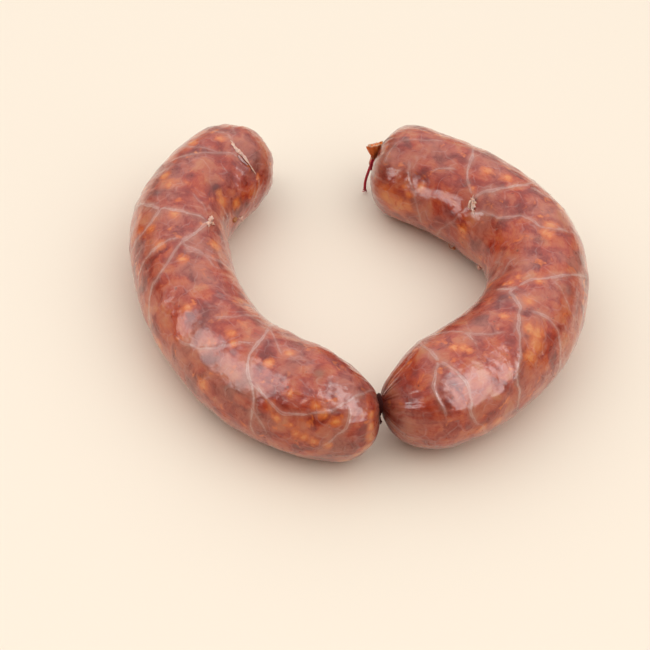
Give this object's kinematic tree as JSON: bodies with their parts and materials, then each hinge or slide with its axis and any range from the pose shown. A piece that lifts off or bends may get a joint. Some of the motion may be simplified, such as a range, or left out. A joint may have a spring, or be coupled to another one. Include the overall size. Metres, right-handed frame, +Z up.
{
  "type": "string of sausage links",
  "caption": "String of plump bent sausage links in natural casing, drawn in by thin red twine between the links and at each far end, lying in an open ring.",
  "frame": {"origin": "middle of the footprint's bounding box, on the surface that the links lie on", "axes": "+Z up, +Y from the tie in the middle towards the open side of the ring, +X to the right seen from that tie"},
  "size_m": [0.1638, 0.1533, 0.0376],
  "materials": {
    "casing": "wet gloss",
    "twine": "matt twisted fibre"
  },
  "bodies": {
    "root": {"sausage_links": "casing", "neck_tie": "twine", "end_tie_left": "twine", "end_tie_right": "twine"}
  },
  "joints": []
}
